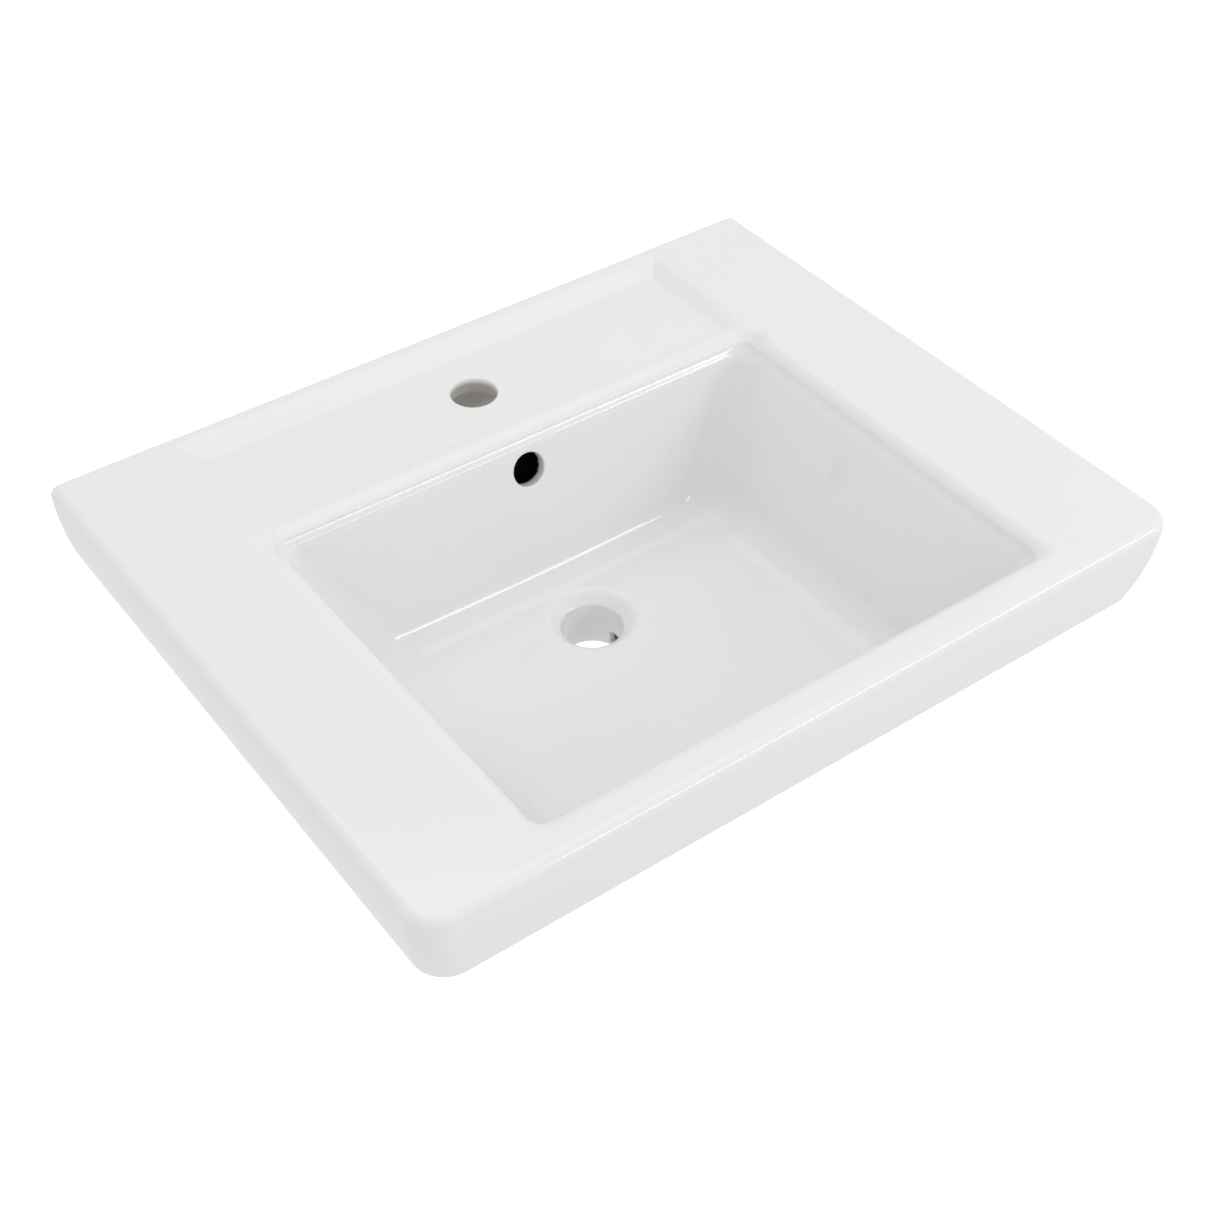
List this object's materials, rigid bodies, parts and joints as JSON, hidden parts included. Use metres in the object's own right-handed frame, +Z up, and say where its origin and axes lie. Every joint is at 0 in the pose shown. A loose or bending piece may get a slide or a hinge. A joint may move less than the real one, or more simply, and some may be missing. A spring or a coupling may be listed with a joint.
{
  "type": "wall-hung washbasin",
  "caption": "Rectangular white washbasin with a deep bowl, sunken tap deck, wide side shelves, overflow and hidden wall bolts.",
  "frame": {"origin": "on the wall plane, midway between the two wall fixings, 85 mm below the rim", "axes": "+X to the right as seen from the front, +Y into the wall, +Z up; the front edge faces -Y"},
  "size_m": [0.6098, 0.5549, 0.169],
  "materials": {
    "glazed_china": "white gloss glaze",
    "zinc_plated_steel": "bright zinc plating",
    "grey_nylon": "moulded nylon",
    "white_nylon": "moulded nylon"
  },
  "bodies": {
    "root": {"basin": "glazed_china", "left_hanger_bolt": "zinc_plated_steel", "left_wall_plug": "grey_nylon", "left_sleeve": "white_nylon", "left_washer": "zinc_plated_steel", "left_nut": "zinc_plated_steel", "right_hanger_bolt": "zinc_plated_steel", "right_wall_plug": "grey_nylon", "right_sleeve": "white_nylon", "right_washer": "zinc_plated_steel", "right_nut": "zinc_plated_steel"}
  },
  "joints": []
}
